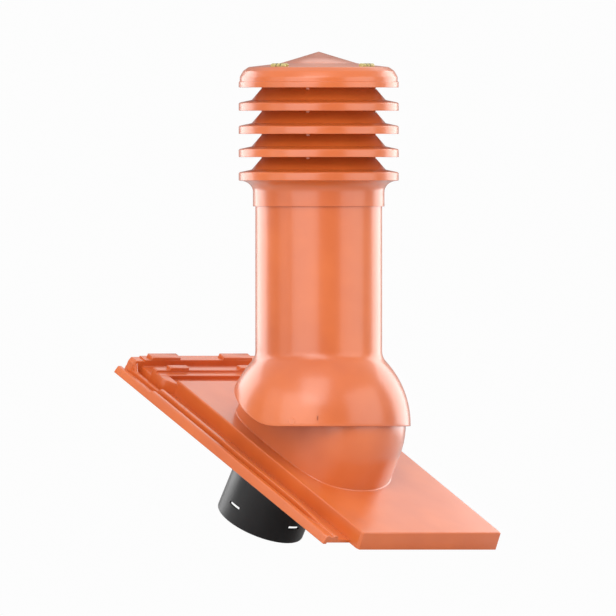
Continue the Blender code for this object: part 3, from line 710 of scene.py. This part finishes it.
louvre = {
    "radius": 101.0 * mm, "wall": 2.6 * mm, "band": 9.0 * mm, "round": 1.4 * mm, "shoulder": 84.6 * mm,
    "slope": 0.213, "lean": 0.866, "pitch": 29.3 * mm, "overlap": 2.2 * mm, "sides": 160,
    "posts": 4, "postTurn": 214.6, "postWidth": 4.0 * mm, "postReach": 4.0 * mm,
}

collar = {
    "bore": 80.3 * mm, "wall": 2.7 * mm, "depth": 20.5 * mm, "step": 18.5 * mm, "flare": 14.5 * mm,
}

cap = {
    "wall": 3.0 * mm, "lip": 7.0 * mm, "lipStep": 1.3 * mm, "side": 13.3 * mm, "shoulder": 88.6 * mm,
    "shoulderRise": 25.8 * mm, "cone": 48.5 * mm, "coneRise": 30.6 * mm, "peak": 45.3 * mm,
}

firstBand = hood["pipeTop"] - collar["depth"] + collar["step"] + collar["flare"]


def louvreTop():
    l = louvre
    edge = l["radius"] - l["round"]
    shoulder = l["band"] + l["round"] + l["slope"] * (edge - l["shoulder"])
    top = l["pitch"] + l["overlap"]
    return [(l["radius"], l["band"]), (edge, l["band"] + l["round"]), (l["shoulder"], shoulder),
            (l["shoulder"] - l["lean"] * (top - shoulder), top)]


def louvreUnder():
    l, upper = louvre, louvreTop()
    drop, inset = l["wall"] * math.hypot(1, l["slope"]), l["wall"] * math.hypot(1, l["lean"])
    bend = (inset / l["lean"] - drop) / (1 / l["lean"] - l["slope"])
    return [(l["radius"] - l["wall"], l["band"] - l["wall"] / 2),
            (upper[2][0] - bend, upper[2][1] + l["slope"] * bend - drop), (upper[3][0] - inset, upper[3][1])]


def heightAt(line, radius):
    for (r0, h0), (r1, h1) in zip(line, line[1:]):
        if min(r0, r1) <= radius <= max(r0, r1) and r0 != r1:
            return h0 + (h1 - h0) * (radius - r0) / (r1 - r0)
    return min(line, key=lambda point: abs(point[0] - radius))[1]


def postTools(under):
    l, upper = louvre, louvreTop()
    throat, throatTop = upper[-1]
    inner, outer = throat - l["wall"] / 2, throat + l["postReach"]
    head = [(r, l["pitch"] - 0.5 * mm + heightAt(under, r)) for r in (outer, inner)]
    ring = [(inner, throatTop - 1.5 * mm), (outer, heightAt(upper, outer) - 1.5 * mm)] + head
    half = l["postWidth"] / 2
    tools = bmesh.new()
    for i in range(l["posts"]):
        turn = Matrix.Rotation(math.radians(l["postTurn"] + 360 * i / l["posts"]), 4, "Z")
        gather(tools, lofted([[(x, y, z) for x, z in ring] for y in (-half, half)]), turn)
    return tools


def makeLouvre(name, node, outline, level, under):
    place = Matrix.Translation(ballCentre + Vector((0, 0, level)))
    obj = meshObject(name, turned(outline, louvre["sides"]), place)
    carve(obj, postTools(under), "UNION", place)
    return complete(obj, orange, "stack", [node])


def makeLouvres():
    l, c = louvre, collar
    upper, under, wall = louvreTop(), louvreUnder(), louvre["wall"]
    body = upper + under[::-1]
    soft = [0.8, 1.5, 2.2, 0.9, 0.9, 1.6, 1.4]
    outer = c["bore"] + c["wall"]
    foot, spread, flare = -c["step"] - c["flare"], l["radius"] - outer, c["flare"]
    rest = foot + c["depth"] + 0.3 * mm
    side = [(outer, foot), (outer, foot + c["step"] - 1 * mm)]
    side += [(outer + spread * (1 - math.cos(a)) * 0.93, foot + c["step"] + flare * math.sin(a) * 0.97)
             for a in (math.radians(90 * k / 10) for k in range(1, 11))]
    side.append((l["radius"], 0.0))
    boreLine = [(l["radius"] - wall * 1.5, wall), (c["bore"] + spread * 0.30, -flare * 0.03),
                (c["bore"] - 0.9 * mm, rest + wall), (c["bore"] - 3.5 * mm, rest),
                (c["bore"], rest), (c["bore"], foot)]
    outline = side + body + boreLine
    sizes = [0.7] + [0] * 11 + [0.7] + soft + [1.0, 2.0, 0.8, 0.5, 0.4, 0.4]
    outline = roundedOutline(outline, [r * mm for r in sizes], 4)
    makeLouvre("collarLouvre", "collar_louvre", outline, firstBand, under)
    ring = [(l["radius"], 0.0)] + body + [(l["radius"] - wall, 0.0)]
    ring = roundedOutline(ring, [r * mm for r in [0.8] + soft + [0.6]], 4)
    for i in range(1, 4):
        above = under if i < 3 else capShoulder(cap["wall"])
        makeLouvre(f"louvre{i}", f"louvre_{i}", ring, firstBand + i * l["pitch"], above)


def capShoulder(drop):
    c = cap
    return [(c["shoulder"] - drop * 0.7, c["shoulderRise"] - drop), (c["cone"], c["coneRise"] - drop),
            (0.0, c["peak"] - drop)]


# The two spirit levels lie along the cap's shoulder, square to each other
vials = {
    "level_vial_left": 186.3, "level_vial_right": 276.3,
    "length": 25.0 * mm, "radius": 3.5 * mm, "endRound": 1.2 * mm, "fromAxis": 78.0 * mm,
    "seatWall": 2.2 * mm, "seatGap": 0.3 * mm,
    "markGap": 3.4 * mm, "markHalf": 0.5 * mm, "markProud": 0.12 * mm, "markSunk": 0.2 * mm,
}


def vialPlace(node):
    rise = firstBand + 4 * louvre["pitch"] + heightAt(capShoulder(0.0), vials["fromAxis"])
    turn = Matrix.Rotation(math.radians(vials[node]), 4, "Z")
    lie = Matrix.Translation((vials["fromAxis"], 0, rise)) @ Matrix.Rotation(math.pi / 2, 4, "X")
    return Matrix.Translation(ballCentre) @ turn @ lie


def makeCap():
    c, l = cap, louvre
    lip, side = l["radius"], l["radius"] - c["lipStep"]
    bend = (side + c["shoulder"]) / 2 + c["lipStep"]
    bendRise = (c["side"] + c["shoulderRise"]) / 2 + c["lipStep"]
    outer = [(lip, 0.0), (lip, c["lip"]), (side, c["lip"] + c["lipStep"] / 2), (side, c["side"]),
             (bend, bendRise)]
    inner = [(lip - c["wall"], 0.0), (lip - c["wall"], c["side"] - c["wall"]),
             (bend - c["wall"], bendRise - c["wall"])]
    outline = outer + capShoulder(0.0) + (inner + capShoulder(c["wall"]))[::-1]
    soft = [0.8, 0.7, 0.7, 6.0, 7.0, 7.0, 6.0, 0, 0, 6.0, 6.0, 6.0, 5.0, 0.6]
    tip = roundedOutline(outline, [r * mm for r in soft], 6)
    place = Matrix.Translation(ballCentre + Vector((0, 0, firstBand + 4 * l["pitch"])))
    obj = meshObject("cap", turned(tip, 192), place)
    v = vials
    pocket, half = v["radius"] + v["seatGap"], v["length"] / 2 + v["seatGap"]
    wide, long = pocket + v["seatWall"], half + v["seatWall"]
    for node in ("level_vial_left", "level_vial_right"):
        ring = [(-wide, -wide), (wide, -wide), (wide, -sink), (-wide, -sink)]
        carve(obj, lofted([[(x, y, z) for x, y in ring] for z in (-long, long)]), "UNION", vialPlace(node))
        hollow = turned([(0, -half), (pocket, -half), (pocket, half), (0, half)], 48)
        carve(obj, hollow, "DIFFERENCE", vialPlace(node))
    return complete(obj, orange, "stack", ["cap"])


def makeVial(name, node):
    v = vials
    half, r, end = v["length"] / 2, v["radius"], v["endRound"]
    tube = [(0, -half)] + [(r - end * (1 - math.sin(a)), -half + end * (1 - math.cos(a)))
                           for a in (math.pi / 2 * k / 4 for k in range(5))]
    tube += [(radius, -z) for radius, z in reversed(tube)]
    obj = meshObject(name, turned(tube, 48), vialPlace(node))
    return complete(obj, liquid, "stack", [node])


# The two dark rings that the bubble sits between
def makeVialMarks(name, node):
    v = vials
    inner, outer = v["radius"] - v["markSunk"], v["radius"] + v["markProud"]
    rings = bmesh.new()
    for z in (-v["markGap"], v["markGap"]):
        low, high = z - v["markHalf"], z + v["markHalf"]
        gather(rings, turned([(inner, low), (outer, low), (outer, high), (inner, high)], 48))
    return complete(meshObject(name, rings, vialPlace(node)), black, "stack")


makeLouvres()
makeCap()
for side in ("left", "right"):
    makeVial(f"levelVial{side.title()}", f"level_vial_{side}")
    makeVialMarks(f"vialMarks{side.title()}", f"level_vial_{side}")
print("louvres, cap and levels made")


# Studio: a pale floor just under the part, a pale surround and soft boxes

paleFloor = {"side": 8.0, "drop": 1 * mm, "colour": (0.55, 0.55, 0.55), "rough": 0.6}


def makeFloor():
    f = paleFloor
    material, nodes, links, shader = newMaterial("paleFloor")
    shader.inputs["Base Color"].default_value = (*f["colour"], 1)
    shader.inputs["Roughness"].default_value = f["rough"]
    half, z = f["side"] / 2, cadBox[0][2] - f["drop"]
    corners = [(-half, -half, z), (half, -half, z), (half, half, z), (-half, half, z)]
    plane = bmesh.new()
    plane.faces.new([plane.verts.new(corner) for corner in corners])
    obj = meshObject("floor", plane)
    obj.data.materials.append(material)


# The camera looks level, from the photo's side
studio = {
    "turn": 44.6,  # the view's turn from the roof's fall line, in degrees
    "frame": 616, "scale": 1.262 * mm,  # the picture's side in pixels, and the real size of one
    "ballPixel": (318.7, 424.0),  # where the ball's centre stands in the picture
    "away": 3.0, "clip": (0.01, 20.0),  # the camera's distance and its range
    "aimRise": 0.15,  # the soft boxes point this far over the ball's centre, in metres
}


def makeCamera():
    s = studio
    a = math.radians(s["turn"])
    look = Vector((math.sin(a), math.cos(a), 0))
    right = Vector((math.cos(a), -math.sin(a), 0))
    half = s["frame"] / 2
    offset = right * (half - s["ballPixel"][0]) * s["scale"]
    offset += Vector((0, 0, s["ballPixel"][1] - half)) * s["scale"]
    data = bpy.data.cameras.new("camera")
    data.type = "ORTHO"
    data.ortho_scale = s["frame"] * s["scale"]
    data.clip_start, data.clip_end = s["clip"]
    camera = bpy.data.objects.new("camera", data)
    scene.collection.objects.link(camera)
    camera.location = ballCentre + offset - look * s["away"]
    camera.rotation_euler = look.to_track_quat("-Z", "Y").to_euler()
    scene.camera = camera


# Each soft box stands "turn" degrees round to the viewer's right and "rise" degrees up
softBoxes = [
    {"name": "keyLeft", "turn": -25, "rise": 13, "wide": 2.0, "tall": 1.8, "away": 2.2, "power": 22},
    {"name": "fillLeft", "turn": -65, "rise": 13, "wide": 0.8, "tall": 1.8, "away": 2.2, "power": 4},
    {"name": "keyRight", "turn": 63, "rise": 13, "wide": 2.0, "tall": 1.8, "away": 2.2, "power": 19},
    {"name": "rimLeft", "turn": -128, "rise": 13, "wide": 1.7, "tall": 1.8, "away": 2.2, "power": 27},
    {"name": "rimRight", "turn": 132, "rise": 13, "wide": 1.6, "tall": 1.8, "away": 2.2, "power": 25},
    {"name": "front", "turn": -6, "rise": 40, "wide": 1.4, "tall": 1.6, "away": 2.4, "power": 16},
    {"name": "backRight", "turn": 165, "rise": 38, "wide": 1.4, "tall": 0.8, "away": 2.4, "power": 2.5},
]


def makeLights():
    viewTurn = math.radians(studio["turn"])
    toViewer = math.degrees(math.atan2(-math.cos(viewTurn), -math.sin(viewTurn)))
    for box in softBoxes:
        a, e = math.radians(toViewer + box["turn"]), math.radians(box["rise"])
        way = Vector((math.cos(a) * math.cos(e), math.sin(a) * math.cos(e), math.sin(e)))
        data = bpy.data.lights.new(box["name"], "AREA")
        data.shape = "RECTANGLE"
        data.size, data.size_y = box["wide"], box["tall"]
        data.energy = box["power"]
        lamp = bpy.data.objects.new(box["name"], data)
        scene.collection.objects.link(lamp)
        lamp.location = ballCentre + Vector((0, 0, studio["aimRise"])) + way * box["away"]
        lamp.rotation_euler = (-way).to_track_quat("-Z", "Y").to_euler()


# The surround's strength in four bands of height, from straight below to straight above
surround = {"strengths": (0.0, 0.32, 0.34, 1.0), "seen": 0.98}


def makeWorld():
    world = bpy.data.worlds.new("studio")
    world.use_nodes = True
    nodes, links = world.node_tree.nodes, world.node_tree.links
    ray = addNode(nodes, "ShaderNodeLightPath")
    place = addNode(nodes, "ShaderNodeTexCoord")
    split = addNode(nodes, "ShaderNodeSeparateXYZ")
    height = addNode(nodes, "ShaderNodeMapRange")
    height.inputs["From Min"].default_value = -1.0
    bands = addNode(nodes, "ShaderNodeValToRGB")
    stops = bands.color_ramp.elements
    for i, value in enumerate(surround["strengths"]):
        stop = stops[i] if i < 2 else stops.new(i / 3)
        stop.position, stop.color = i / 3, (value, value, value, 1)
    plain = nodes["Background"]
    seen = addNode(nodes, "ShaderNodeBackground")
    seen.inputs["Color"].default_value = (surround["seen"],) * 3 + (1,)
    mix = addNode(nodes, "ShaderNodeMixShader")
    links.new(place.outputs["Generated"], split.inputs["Vector"])
    links.new(split.outputs["Z"], height.inputs["Value"])
    links.new(height.outputs["Result"], bands.inputs["Fac"])
    links.new(bands.outputs["Color"], plain.inputs["Color"])
    links.new(ray.outputs["Is Camera Ray"], mix.inputs["Fac"])
    links.new(plain.outputs["Background"], mix.inputs[1])
    links.new(seen.outputs["Background"], mix.inputs[2])
    links.new(mix.outputs["Shader"], nodes["World Output"].inputs["Surface"])
    scene.world = world


makeFloor()
makeCamera()
makeLights()
makeWorld()
scene.view_settings.view_transform = "Standard"
print("studio made")
